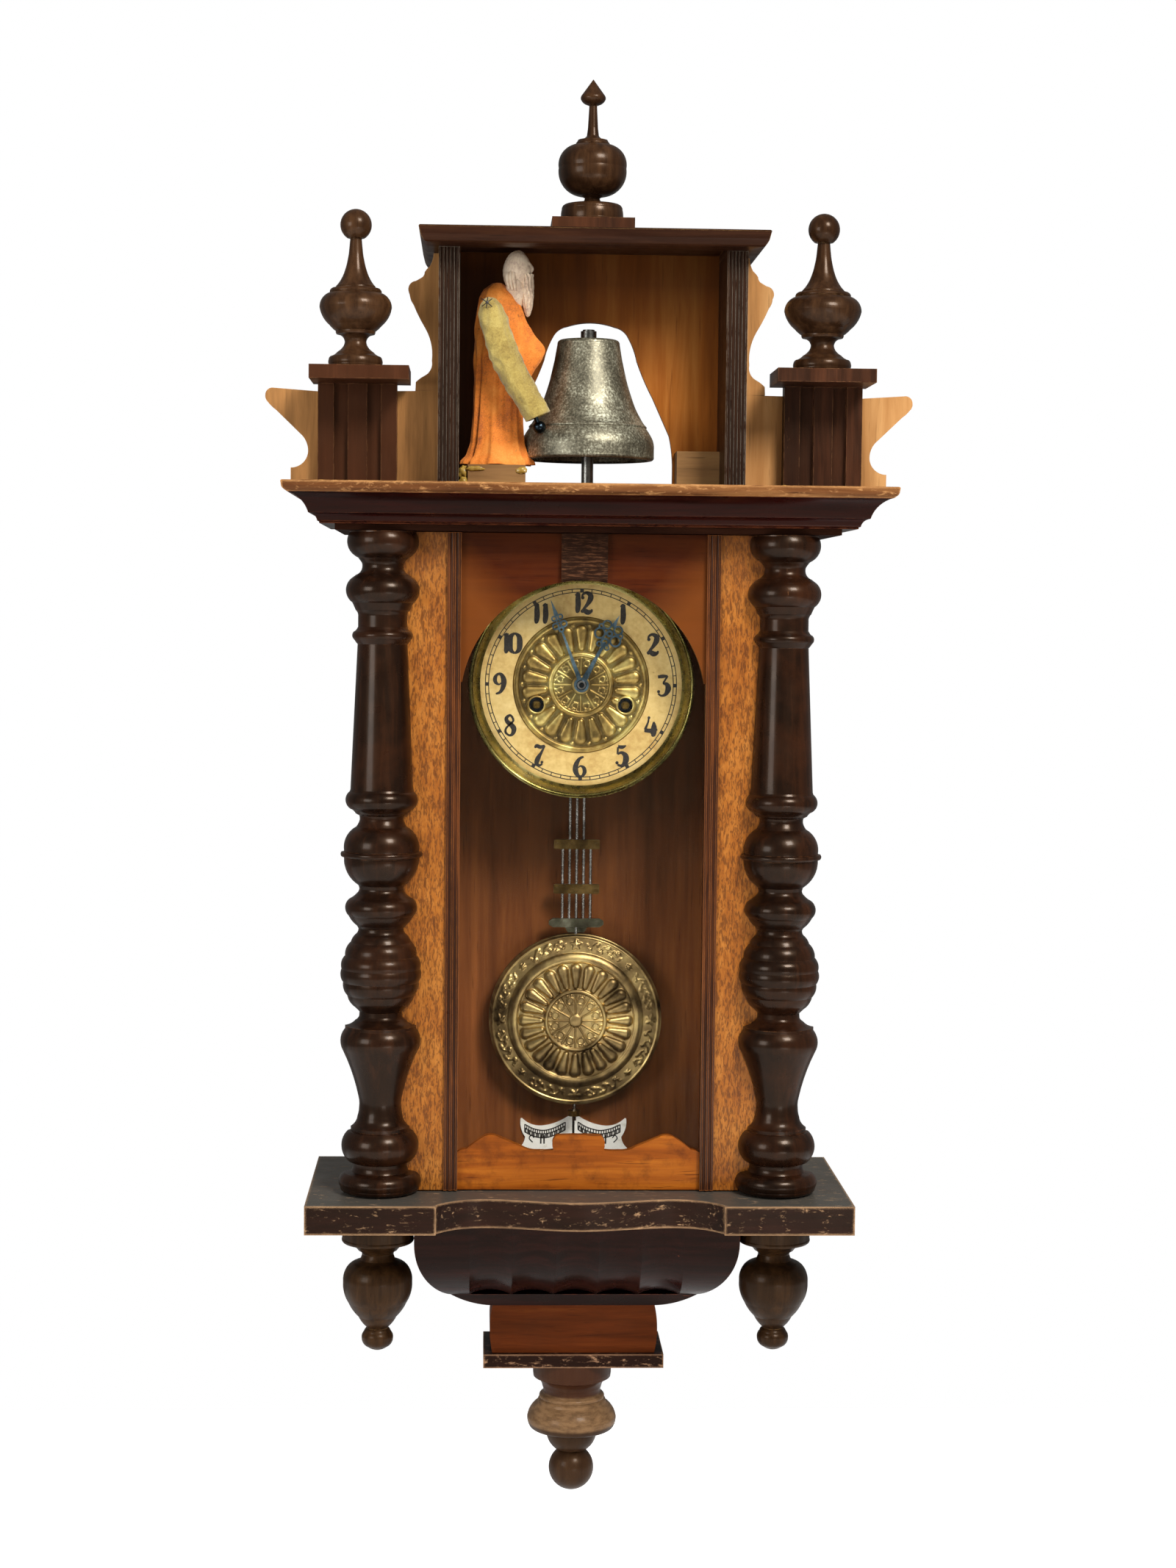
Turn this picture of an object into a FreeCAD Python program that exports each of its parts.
import FreeCAD, Part
import math
import os

# Wall clock with a striking figure. X is to the right, Z is up, and the wall is the plane Y = 0.
# Depths are measured from the wall towards the room, so a point at depth d has Y = -d.
# The origin is the middle of the hanging hole, on the back of the backboard.

# Driving dimensions, in millimetres
case_width = 300.0
case_depth = 100.0
cornice_above_origin = 70.0
case_height = 460.5
board = 12.0
door_thickness = 17.5
door_gap = 0.5
column_radius = 28.2
column_inset = 11.0
base_width = 377.4
base_depth = 165.0
base_thickness = 20.0
cornice_width = 416.6
cornice_depth = 168.0
niche_height = 161.2
niche_width = 211.6
crest_shift = 4.0
cornice_shift = 2.4
dial_radius = 76.0
bezel_radius = 80.0
dial_drop = 138.0
bob_radius = 63.3
bob_above_bottom = 107.9
seat = 0.3
running = 0.05
overrun = 1.0

# Hanging plate and its screws
hanger_width = 44.0
hanger_height = 34.0
hanger_thickness = 2.0
hanger_bore_radius = 5.0
hanger_pocket_radius = 10.0
hanger_pocket_depth = 7.0
hanger_screw_radius = 2.0
hanger_screw_length = 9.0
hanger_screw_spread = 32.0

# Case sides with glazed windows
window_margin_front = 20.0
window_margin_back = 16.0
window_margin_end = 52.0
window_glass = 2.0
window_rebate = 4.0

# Cornice
cornice_lip = 7.5
cornice_moulding_height = 20.5
cornice_moulding_inset = 24.8
cornice_board_height = 4.0
cornice_board_inset = 34.5
cornice_hollow_margin = 44.0
wire_hole_radius = 2.5

# Base shelf
shelf_block_inner = 99.0
shelf_recess_end = 4.0
shelf_recess_deep = 22.0
shelf_recess_middle = 11.0
shelf_deep_x = 67.0

# Bowl bracket, lower block and lower plate
bowl_half_width = 115.0
bowl_height = 77.5
bowl_side_radius = 58.0
bowl_front_depth = 115.0
bowl_front_radius = 70.0
bowl_foot_height = 10.0
flute_radius = 34.0
flute_deep = 3.5
flute_places_shares = (-0.53, -0.265, 0.0, 0.265, 0.53)
block_width = 118.0
block_height = 35.0
block_depth = 57.0
block_cove = 2.0
plate_width = 131.0
plate_thickness = 10.0
plate_depth = 62.0
upstand_depth = 12.0

# Pendants under the shelf and under the lower plate
side_pendant_x = 141.0
side_pendant_depth = 95.0
side_pendant_height = 99.0
side_pendant_radius = 25.3
bottom_pendant_depth = 34.0
bottom_pendant_height = 98.5
bottom_pendant_radius = 33.4

# Crest stage
stage_back_depth = 62.0
stage_back_thickness = 6.0
stage_front_depth = 126.0
stage_side_width = 14.3
stage_groove_radius = 1.1
stage_groove_count = 5
cut_half_bottom = 59.0
cut_height = 118.0
cut_x = 5.0
cap_width = 238.4
cap_depth = 150.0
cap_height = 11.3
cap_inset = 12.0
finial_plinth_size = 57.0
finial_plinth_height = 12.0
finial_depth = 85.0
top_finial_radius = 23.6
top_finial_height = 98.6
glued_block_width = 30.0
glued_block_height = 27.0
glued_block_depth = 22.0
stage_ceiling_height = 166.0

# Wing boards and scroll brackets
crest_board_depth = 92.0
crest_board_thickness = 8.0
wing_height = 66.8
wing_reach = 120.3
scroll_height = 94.8
scroll_reach = 20.7

# Pedestals, their caps and the finials on them
pedestal_x = 161.7
pedestal_width = 54.5
pedestal_height = 69.5
right_pedestal_rise = 2.0
pedestal_depth = 12.5
pedestal_groove_depth = 4.0
pedestal_groove_share = 0.178
pedestal_groove_place_share = 0.21
pedestal_cap_x = 159.0
pedestal_cap_width = 67.5
pedestal_cap_height = 9.3
pedestal_cap_front = 145.0
side_finial_x = 160.5
side_finial_shift = 2.0
side_finial_depth = 118.0
side_finial_height = 107.6
side_finial_radius = 24.7
right_finial_radius = 26.6

# Bell
bell_x = 3.0
bell_depth = 72.0
bell_radius = 46.9
bell_height = 84.0
bell_wall = 3.0
bell_lift = 20.5
post_radius = 4.2
post_flange_radius = 9.0
post_flange_height = 3.0
bell_nut_radius = 5.6
bell_nut_height = 7.3

# Figure, its arm and the pull wire
figure_x = -61.2
figure_depth = 91.5
robe_half_width = 22.6
robe_half_depth = 9.2
robe_height = 126.0
robe_fold_count = 12
robe_fold_share = 0.14
elbow_x = -29.1
elbow_height = 94.5
elbow_half_height = 17.0
elbow_half_depth = 9.0
figure_plinth_width = 40.0
figure_plinth_height = 15.0
figure_plinth_half_depth = 14.0
head_x = -47.6
head_lift = 134.0
head_half_width = 11.0
head_half_depth = 8.5
head_height = 30.0
beard_tip_x = -40.8
beard_tip_height = 118.0
beard_length = 26.0
beard_radius = 6.5
shoulder_x = -69.0
shoulder_height = 122.0
sleeve_radius = 11.0
sleeve_depth = 114.5
sleeve_reach_x = 35.8
sleeve_reach_down = 74.4
sleeve_over_shoulder = 8.0
hammer_radius = 4.5
hammer_reach_down = 81.0
hammer_bearing = 44.0
hammer_stem_radius = 1.6
pivot_pin_radius = 1.5
crank_length = 12.0
crank_thickness = 2.0
crank_pin_radius = 0.9
wire_radius = 0.6
wire_eye_radius = 1.9
wire_depth = 66.0

# Lifting lever in the case
lever_below_top = 24.0
lever_reach = 21.0
lever_width = 5.0
lever_thickness = 2.0
lever_tail_x = 24.0
lever_tail_drop = 16.0
lever_hub_radius = 4.0
lever_stud_radius = 2.0

# Beat scale on the backboard
scale_width = 81.0
scale_height = 35.5
scale_thickness = 1.2
scale_lift = 3.5

# Door
stile_width = 55.5
moulding_width = 9.5
rail_thickness = 9.5
top_rail_height = 27.5
bottom_rail_height = 22.0
glass_thickness = 2.5
panel_thickness = 6.0
moulding_proud = 2.0
arch_margin = 1.0
arch_rise = 71.0
arch_foot_drop = 103.2
key_block_width = 32.0
key_block_height = 31.5
key_block_proud = 4.0
apron_height = 40.0

# Hinges and latch
hinge_offset = 3.0
hinge_barrel_radius = 2.6
hinge_pin_radius = 1.3
hinge_leaf_length = 18.0
hinge_leaf_thickness = 1.0
hinge_height = 40.0
hinge_places_shares = (0.14, 0.84)
hook_place_share = 0.5
hook_length = 28.0
hook_width = 5.0
hook_thickness = 1.6
hook_pivot_depth = 84.0
stud_radius = 1.6
stud_length = 3.2
stud_head_radius = 2.8
stud_head_height = 1.2

# Dial, bezel and embossed centre
dial_thickness = 2.0
dial_back_depth = 74.0
bezel_inner_radius = 71.5
bezel_height = 18.0
bezel_wall = 1.6
dial_centre_radius = 48.4
dial_centre_height = 2.6
dial_centre_rim = 3.0
winding_x = 31.5
winding_drop = 14.3
winding_hole_radius = 5.8

# Hands
hour_hand_length = 56.0
minute_hand_length = 63.5
hour_hand_angle = 28.3
minute_hand_angle = -20.4
hand_thickness = 0.9
hour_hand_depth = 79.4
minute_hand_depth = 82.4
hand_boss_radius = 5.2
hour_hand_width = 15.0
minute_hand_width = 11.0
hand_nut_radius = 3.0
hand_nut_height = 2.0

# Movement frame
plate_half_width = 58.0
plate_top_above = 44.0
plate_bottom_below = 44.0
movement_plate = 2.0
back_plate_depth = 36.0
front_plate_depth = 68.0
pillar_radius = 4.0
pillar_inset = 6.0
dial_foot_radius = 2.2
dial_foot_inset = 10.0
cock_width = 16.0
cock_height = 12.0
cock_front_depth = 29.0

# Trains, as modules, counts and places from the dial centre
train_module = 0.36
centre_teeth = 80
third_teeth = 72
train_pinion_teeth = 8
escape_teeth = 38
escape_radius = 11.5
escape_above = 20.0
anchor_above = 36.0
work_module = 0.7
cannon_teeth = 10
minute_wheel_teeth = 30
minute_pinion_teeth = 8
hour_wheel_teeth = 32
minute_wheel_bearing = 225.0
wheel_thickness = 1.2
pinion_length = 3.0
arbor_radius = 1.2
pivot_radius = 0.8
centre_arbor_radius = 1.2
cannon_pipe_radius = 2.0
hour_pipe_radius = 3.2
barrel_radius = 22.0
barrel_back_depth = 46.5
barrel_height = 18.0
winding_arbor_radius = 2.6
winding_square = 4.0
winding_square_depth = 78.8

# Anchor, crutch and pendulum
anchor_depth = 60.0
pallet_clear = 1.0
crutch_depth = 32.0
crutch_length = 52.0
crutch_width = 4.0
crutch_thickness = 1.4
crutch_pin_radius = 1.0
pendulum_depth = 26.0
pivot_rod_radius = 1.2
rod_radius = 1.1
rod_spacing = 5.1
bar_height = 6.4
bar_thickness = 3.6
bar_drop_shares = (0.3645, 0.5446, 0.6607, 0.7488)
bar_half_widths = (8.0, 16.7, 16.7, 20.0)
slot_plate_width = 8.0
slot_plate_height = 14.0
slot_clear = 0.25
bob_thickness = 15.0
bob_rim = 3.0
stem_radius = 1.5
stem_below_bob = 12.5
rating_nut_radius = 4.8
rating_nut_height = 4.0

# Derived places
half_case = case_width / 2
cornice_top_z = cornice_above_origin
cornice_moulding_z = cornice_top_z - cornice_lip
cornice_board_z = cornice_moulding_z - cornice_moulding_height
case_top_z = cornice_board_z - cornice_board_height
case_bottom_z = case_top_z - case_height
shelf_bottom_z = case_bottom_z - base_thickness
bowl_bottom_z = shelf_bottom_z - bowl_height
block_bottom_z = bowl_bottom_z - block_height
plate_bottom_z = block_bottom_z - plate_thickness
door_back = case_depth + door_gap
door_front = door_back + door_thickness
door_top_z = case_top_z - door_gap
door_bottom_z = case_bottom_z + door_gap + door_gap
dial_z = cornice_top_z - dial_drop
anchor_z = dial_z + anchor_above
escape_z = dial_z + escape_above
bob_z = case_bottom_z + bob_above_bottom
bob_drop = anchor_z - bob_z
column_axis_x = half_case - column_inset

# Turned outlines: share of height from the bottom, share of the largest radius, share of bow.
# The bow belongs to the stretch that ends at its point, and is positive where it swells.
column_shares = (
    (0.0, 0.89, 0), (0.007, 0.982, 0.2), (0.029, 0.885, 0.22), (0.031, 0.71, 0), (0.044, 0.673, -0.1),
    (0.047, 0.79, 0), (0.093, 0.79, 0.22), (0.094, 0.726, 0), (0.099, 0.726, 0), (0.115, 0.56, -0.12),
    (0.128, 0.522, -0.04), (0.145, 0.54, -0.05), (0.216, 0.929, -0.03), (0.249, 0.876, 0.16),
    (0.254, 0.876, 0), (0.262, 0.62, -0.1), (0.268, 0.53, -0.1), (0.275, 0.522, 0), (0.282, 0.637, 0),
    (0.3, 0.83, 0.1), (0.32, 0.93, 0.12), (0.34, 0.97, 0.14), (0.36, 0.885, 0.14), (0.381, 0.744, 0.12),
    (0.394, 0.6, 0.08), (0.402, 0.558, -0.1), (0.406, 0.6, 0), (0.421, 0.8, 0.06), (0.447, 0.77, 0.24),
    (0.455, 0.6, -0.05), (0.462, 0.54, -0.1), (0.467, 0.56, 0), (0.469, 0.6, 0), (0.51, 0.92, 0.13),
    (0.511, 0.982, 0), (0.518, 0.982, 0.2), (0.519, 0.92, 0), (0.556, 0.62, 0.16), (0.566, 0.54, -0.05),
    (0.573, 0.55, -0.05), (0.576, 0.64, 0), (0.583, 0.77, -0.1), (0.609, 0.79, 0.26), (0.612, 0.77, 0),
    (0.831, 0.611, 0), (0.833, 0.64, 0), (0.838, 0.7, 0), (0.85, 0.7, 0.22), (0.855, 0.62, -0.1),
    (0.857, 0.6, 0), (0.872, 0.6, 0), (0.882, 0.66, -0.12), (0.893, 0.74, 0), (0.895, 0.78, 0),
    (0.929, 0.78, 0.22), (0.935, 0.65, 0), (0.948, 0.504, -0.16), (0.955, 0.54, -0.1), (0.96, 0.6, 0),
    (0.963, 0.68, 0), (0.998, 0.82, 0.2), (1.0, 0.82, 0),
)
side_pendant_shares = (
    (0.0, 0.0, 0), (0.025, 0.28, 0.2), (0.085, 0.44, 0.15), (0.135, 0.38, 0.12), (0.163, 0.3, 0.1),
    (0.175, 0.33, 0), (0.248, 0.54, 0.05), (0.35, 0.82, 0.05), (0.5, 0.97, 0.08), (0.595, 0.88, 0.08),
    (0.645, 0.62, 0.1), (0.66, 0.5, 0), (0.7, 0.44, -0.05), (0.73, 0.55, -0.15), (0.79, 0.97, -0.12),
    (0.82, 1.0, 0.2), (1.0, 1.0, 0),
)
bottom_pendant_shares = (
    (0.0, 0.0, 0), (0.31, 0.26, 0.42), (0.312, 0.35, 0), (0.45, 0.56, 0.12), (0.46, 0.56, 0),
    (0.475, 0.85, 0), (0.49, 0.93, 0.1), (0.56, 0.98, 0.08), (0.67, 0.76, 0.1), (0.69, 0.74, 0),
    (0.7, 0.7, 0), (0.73, 0.7, 0.2), (0.74, 0.64, 0), (0.79, 0.65, -0.1), (0.87, 0.85, -0.15),
    (0.9, 0.86, 0), (1.0, 0.86, 0),
)
side_finial_shares = (
    (0.0, 0.7, 0), (0.02, 0.74, 0.15), (0.05, 0.745, 0.1), (0.07, 0.7, 0.1), (0.1, 0.5, -0.08),
    (0.135, 0.34, -0.06), (0.165, 0.3, -0.06), (0.195, 0.36, -0.08), (0.207, 0.44, -0.05),
    (0.212, 0.53, 0), (0.232, 0.55, 0.1), (0.236, 0.58, 0), (0.27, 0.73, 0.03), (0.38, 1.0, 0.09),
    (0.465, 0.79, 0.14), (0.473, 0.71, 0), (0.482, 0.72, 0.1), (0.5, 0.66, 0.1), (0.502, 0.555, 0),
    (0.515, 0.54, 0.1), (0.525, 0.5, 0), (0.556, 0.41, -0.02), (0.616, 0.3, -0.03), (0.68, 0.23, -0.02),
    (0.75, 0.185, -0.02), (0.815, 0.16, 0), (0.817, 0.24, 0), (1.0, 0.0, 0.46),
)
top_finial_shares = (
    (0.0, 0.9, 0), (0.02, 0.915, 0.1), (0.09, 0.9, 0.05), (0.125, 0.78, 0.2), (0.13, 0.55, 0),
    (0.15, 0.25, -0.1), (0.17, 0.22, 0), (0.185, 0.33, 0), (0.38, 1.0, 0.22), (0.54, 0.56, 0.2),
    (0.545, 0.5, 0), (0.56, 0.47, 0.2), (0.575, 0.44, 0), (0.605, 0.18, -0.12), (0.66, 0.15, 0),
    (0.815, 0.115, 0), (0.825, 0.22, 0), (0.86, 0.366, 0.1), (0.885, 0.35, 0.1), (1.0, 0.0, 0),
)
bell_shares = (
    (0.0, 0.97, 0), (0.03, 1.0, 0.2), (0.09, 1.0, 0), (0.2, 0.955, 0.08), (0.265, 0.88, 0.02),
    (0.28, 0.885, 0.2), (0.3, 0.85, 0), (0.36, 0.785, -0.02), (0.51, 0.665, -0.03), (0.67, 0.575, -0.01),
    (0.83, 0.51, 0), (0.965, 0.468, 0), (1.0, 0.42, 0.2),
)
robe_shares = (
    (0.0, 1.0, 1.0, 0.0), (0.02, 1.0, 1.0, 0.0), (0.042, 0.81, 0.86, 0.0), (0.12, 0.735, 0.86, 0.0),
    (0.29, 0.68, 0.87, 0.0), (0.46, 0.665, 0.9, 0.0), (0.63, 0.74, 0.96, 0.08), (0.75, 0.76, 0.98, 0.13),
    (0.84, 0.68, 0.95, 0.08), (0.92, 0.55, 0.85, 0.01), (0.965, 0.37, 0.65, -0.04), (1.0, 0.14, 0.3, -0.02),
)
elbow_shares = ((1.0, 1.0, 1.0), (0.55, 0.8, 0.8), (0.12, 0.32, 0.4), (0.0, 0.1, 0.12))
sleeve_shares = (
    (0.0, 0.9, 0), (0.04, 1.0, 0.1), (0.2, 0.88, -0.04), (0.55, 1.0, 0.04), (0.8, 0.85, 0.04),
    (0.92, 0.68, 0.08), (1.0, 0.0, 0.4),
)

# Flat outlines: share of width, share of height, share of bow
wing_shares = (
    (0.0, 0.0, 0), (0.853, 0.0, 0), (0.853, 0.178, 0), (0.753, 0.344, -0.2), (0.802, 0.536, -0.12),
    (0.941, 0.777, 0), (0.985, 0.852, 0.04), (1.0, 0.925, 0.12), (0.949, 1.0, 0.24), (0.7, 0.97, 0),
    (0.0, 0.99, 0),
)
scroll_shares = (
    (0.0, 0.0, 0), (0.79, 0.0, 0), (0.775, 0.062, 0), (0.46, 0.112, 0.04), (0.242, 0.218, -0.16),
    (0.475, 0.462, -0.08), (0.88, 0.635, 0.02), (1.0, 0.704, 0.08), (0.795, 0.797, 0.28), (0.59, 0.823, 0),
    (0.5, 0.862, -0.12), (0.33, 0.904, 0.05), (0.2, 1.0, -0.06), (0.0, 1.0, 0),
)
apron_shares = (
    (0.0, 0.0, 0), (1.0, 0.0, 0), (1.0, 0.66, 0), (0.93, 0.71, 0.1), (0.78, 0.94, 0.02),
    (0.66, 0.93, 0.12), (0.47, 0.76, 0), (0.33, 0.69, -0.08), (0.205, 0.7, -0.03), (0.215, 0.8, 0.1),
    (0.2, 0.92, 0.12), (0.17, 0.96, 0.12), (0.0, 0.97, 0.01),
)
cut_shares = (
    (1.0, 0.0, 0), (1.0, 0.12, 0), (0.955, 0.33, 0.03), (0.75, 0.556, 0), (0.555, 0.775, -0.02),
    (0.45, 0.915, 0.04), (0.29, 0.975, 0.12), (0.0, 1.0, 0.04),
)
lip_shares = ((0.1, 0.0, 0), (0.0, 0.1, 0), (0.05, 0.43, 0), (0.27, 0.83, -0.12), (0.5, 1.0, 0))
moulding_shares = (
    (0.17, 0.0, 0), (0.7, 0.66, 0.13), (0.72, 0.67, 0), (0.935, 0.925, 0.17), (0.99, 0.95, 0),
    (0.99, 1.0, 0),
)
cap_shares = (
    (0.07, 0.0, 0), (0.0, 0.07, 0), (0.09, 0.45, 0), (0.24, 0.8, -0.06), (0.55, 0.96, -0.16),
    (1.0, 1.0, 0),
)
scale_shares = (
    (0.0, 0.0, 0), (0.9, 0.0, 0), (0.99, 0.16, 0.15), (0.88, 0.4, -0.1), (0.965, 0.785, 0.1),
    (0.94, 0.79, 0), (0.55, 0.635, -0.12), (0.1, 0.83, -0.06), (0.0, 1.0, -0.1),
)


def point(x, depth, z):
    """Point at a depth in front of the wall."""
    return FreeCAD.Vector(x, -depth, z)


def block(x0, x1, d0, d1, z0, z1):
    """Box between two places on each axis, with depths measured from the wall."""
    return Part.makeBox(x1 - x0, d1 - d0, z1 - z0, point(x0, d1, z0))


def rod(x, depth, z, length, radius):
    """Round bar from a depth towards the room."""
    return Part.makeCylinder(radius, length, point(x, depth, z), FreeCAD.Vector(0, -1, 0))


def upright(x, depth, z, length, radius):
    """Round bar that stands upright."""
    return Part.makeCylinder(radius, length, point(x, depth, z), FreeCAD.Vector(0, 0, 1))


def bowed_edges(points):
    """Edges through (u, v, bow) points, each stretch a line or an arc."""
    edges = []
    for (u0, v0, unused), (u1, v1, bow) in zip(points, points[1:]):
        start = FreeCAD.Vector(u0, 0, v0)
        end = FreeCAD.Vector(u1, 0, v1)
        if bow == 0:
            edges.append(Part.LineSegment(start, end).toShape())
        else:
            middle = (start + end) * 0.5 + FreeCAD.Vector(v1 - v0, 0, u0 - u1) * bow
            edges.append(Part.Arc(start, middle, end).toShape())
    return edges


def closed_face(points):
    """Flat face in the XZ plane inside a closed outline of (u, v, bow) points."""
    return Part.Face(Part.Wire(bowed_edges(list(points) + [points[0]])))


def turned(shares, height, radius, x, depth, z):
    """Solid turned about an upright axis, from shares of its height and largest radius.

    A bowed stretch that meets the axis gets the bow of a ball that is centred on it.
    """
    outline = [(share_r * radius, share_z * height, bow) for share_z, share_r, bow in shares]
    for number in (1, len(outline) - 1):
        (r0, z0, unused), (r1, z1, bow) = outline[number - 1:number + 1]
        if bow != 0 and min(r0, r1) == 0:
            outline[number] = (r1, z1, math.tan(math.atan2(z1 - z0, abs(r1 - r0)) / 2) / 2)
    outer = bowed_edges(outline)
    top = FreeCAD.Vector(0, 0, height)
    bottom = FreeCAD.Vector(0, 0, 0)
    last = FreeCAD.Vector(outline[-1][0], 0, outline[-1][1])
    first = FreeCAD.Vector(outline[0][0], 0, outline[0][1])
    if last.sub(top).Length > 0:
        outer.append(Part.LineSegment(last, top).toShape())
    outer.append(Part.LineSegment(top, bottom).toShape())
    if first.sub(bottom).Length > 0:
        outer.append(Part.LineSegment(bottom, first).toShape())
    solid = Part.Face(Part.Wire(outer)).revolve(bottom, FreeCAD.Vector(0, 0, 1), 360)
    solid.translate(point(x, depth, z))
    return solid


def across(face, depth, thickness):
    """Plate cut to a face in the XZ plane, from a depth towards the room."""
    plate = face.extrude(FreeCAD.Vector(0, -thickness, 0))
    plate.translate(point(0, depth, 0))
    return plate


def mirrored(shape):
    """The same piece on the other side of the middle."""
    return shape.mirror(FreeCAD.Vector(0, 0, 0), FreeCAD.Vector(1, 0, 0))


def shifted(shape, shift=crest_shift):
    """The same piece moved with the crest, which sits a little right of the middle."""
    moved = shape.copy()
    moved.translate(FreeCAD.Vector(shift, 0, 0))
    return moved


def moulded(half_width, depth, z_top, outline):
    """Block with a moulding on its front and both sides, mitred at the corners.

    The outline holds (inset, drop, bow) points from the top edge down.
    """
    drop = outline[-1][1]
    front = [(depth - inset, -down, bow) for inset, down, bow in outline]
    front_face = closed_face(front + [(0, -drop, 0), (0, 0, 0)])
    along = front_face.copy()
    along.rotate(FreeCAD.Vector(0, 0, 0), FreeCAD.Vector(0, 0, 1), -90)
    along = along.extrude(FreeCAD.Vector(2 * half_width, 0, 0))
    along.translate(FreeCAD.Vector(-half_width, 0, z_top))
    right = [(half_width - inset, -down, bow) for inset, down, bow in outline]
    left = [(inset - half_width, -down, 0) for inset, down, unused in reversed(outline)]
    bows = [bow for unused_inset, unused_down, bow in outline]
    left = [(u, v, bow) for (u, v, unused), bow in zip(left, [0] + list(reversed(bows[1:])))]
    side_face = closed_face(right + left)
    side = side_face.extrude(FreeCAD.Vector(0, -depth, 0))
    side.translate(FreeCAD.Vector(0, 0, z_top))
    return along.common(side)


def gear(teeth, module, thickness, bore, x, depth, z, turn_share=0.0):
    """Wheel with straight sided teeth, loose enough to run with its partner."""
    pitch_radius = teeth * module / 2
    tip_share = 0.65
    root_share = 1.15
    tooth_width_shares = ((-root_share, 0.48), (0, 0.37), (tip_share, 0.16))
    corners = []
    for number in range(teeth):
        middle = 2 * math.pi * (number + turn_share) / teeth
        left = []
        right = []
        for height_share, width_share in tooth_width_shares:
            radius = pitch_radius + height_share * module
            half = math.pi * width_share / teeth
            left.append((radius * math.sin(middle - half), radius * math.cos(middle - half)))
            right.append((radius * math.sin(middle + half), radius * math.cos(middle + half)))
        corners += left + list(reversed(right))
    wire = Part.makePolygon([FreeCAD.Vector(u, 0, v) for u, v in corners + corners[:1]])
    wheel = Part.Face(wire).extrude(FreeCAD.Vector(0, -thickness, 0))
    wheel.translate(point(x, depth, z))
    if bore > 0:
        wheel = wheel.cut(rod(x, depth - overrun, z, thickness + 2 * overrun, bore))
    return wheel


def save(name, *solids):
    """Write one node from one or more solids."""
    shape = solids[0] if len(solids) == 1 else Part.makeCompound(list(solids))
    shape.exportStep("parts/" + name + ".step")


def make_backboard():
    """Backboard with the recess for the hanging plate and a pocket for the wall screw."""
    body = block(-half_case, half_case, 0, board, case_bottom_z, case_top_z)
    half_w = hanger_width / 2
    half_h = hanger_height / 2
    body = body.cut(block(-half_w, half_w, -overrun, hanger_thickness, -half_h, half_h))
    pocket = rod(0, hanger_thickness - overrun, 0, hanger_pocket_depth + overrun, hanger_pocket_radius)
    body = body.cut(pocket)
    for side in (-1, 1):
        hole = rod(side * hanger_screw_spread / 2, 0, 0, hanger_screw_length, hanger_screw_radius)
        body = body.cut(hole)
    save("backboard", body)
    plate = block(-half_w, half_w, 0, hanger_thickness, -half_h, half_h)
    plate = plate.cut(rod(0, -overrun, 0, hanger_thickness + 2 * overrun, hanger_bore_radius))
    screws = []
    for side in (-1, 1):
        screw = rod(side * hanger_screw_spread / 2, 0, 0, hanger_screw_length, hanger_screw_radius)
        plate = plate.cut(screw)
        screws.append(screw)
    save("hanger_plate", plate, *screws)


def make_case_sides():
    """Two case sides, each with a window, and the glass in its rebate."""
    outer = half_case
    inner = half_case - board
    side = block(inner, outer, board, case_depth, case_bottom_z, case_top_z)
    d0 = board + window_margin_back
    d1 = case_depth - window_margin_front
    z0 = case_bottom_z + window_margin_end
    z1 = case_top_z - window_margin_end
    side = side.cut(block(inner - overrun, outer + overrun, d0, d1, z0, z1))
    edge = window_rebate
    glass = block(inner, inner + window_glass, d0 - edge, d1 + edge, z0 - edge, z1 + edge)
    side = side.cut(glass)
    save("case_sides", side, mirrored(side))
    save("side_glasses", glass, mirrored(glass))


def make_cornice():
    """Cornice: top board with its lip, coved moulding below it, and the board under both."""
    half = cornice_width / 2
    lip = cornice_lip
    profile = [(u * lip, v * lip, bow) for u, v, bow in lip_shares]
    top = shifted(moulded(half, cornice_depth, cornice_top_z, profile), cornice_shift)
    wire_hole = upright(shoulder_x + crank_length, wire_depth, case_top_z - overrun, cornice_top_z,
                        wire_hole_radius)
    post_hole = upright(bell_x, bell_depth, case_top_z - overrun, cornice_top_z, post_radius)
    top = top.cut(wire_hole)
    save("cornice_top", top.cut(post_hole))
    profile = [(u * cornice_moulding_inset, v * cornice_moulding_height, bow)
               for u, v, bow in moulding_shares]
    moulding = moulded(half, cornice_depth, cornice_moulding_z, profile)
    margin = cornice_hollow_margin
    hollow = block(-half + margin, half - margin, -overrun, cornice_depth - margin,
                   cornice_board_z - overrun, cornice_moulding_z + overrun)
    save("cornice_moulding", shifted(moulding.cut(hollow), cornice_shift))
    edge = half - cornice_board_inset
    under = block(-edge, edge, 0, cornice_depth - cornice_board_inset, case_top_z, cornice_board_z)
    save("cornice_board", shifted(under, cornice_shift).cut(wire_hole))


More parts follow.
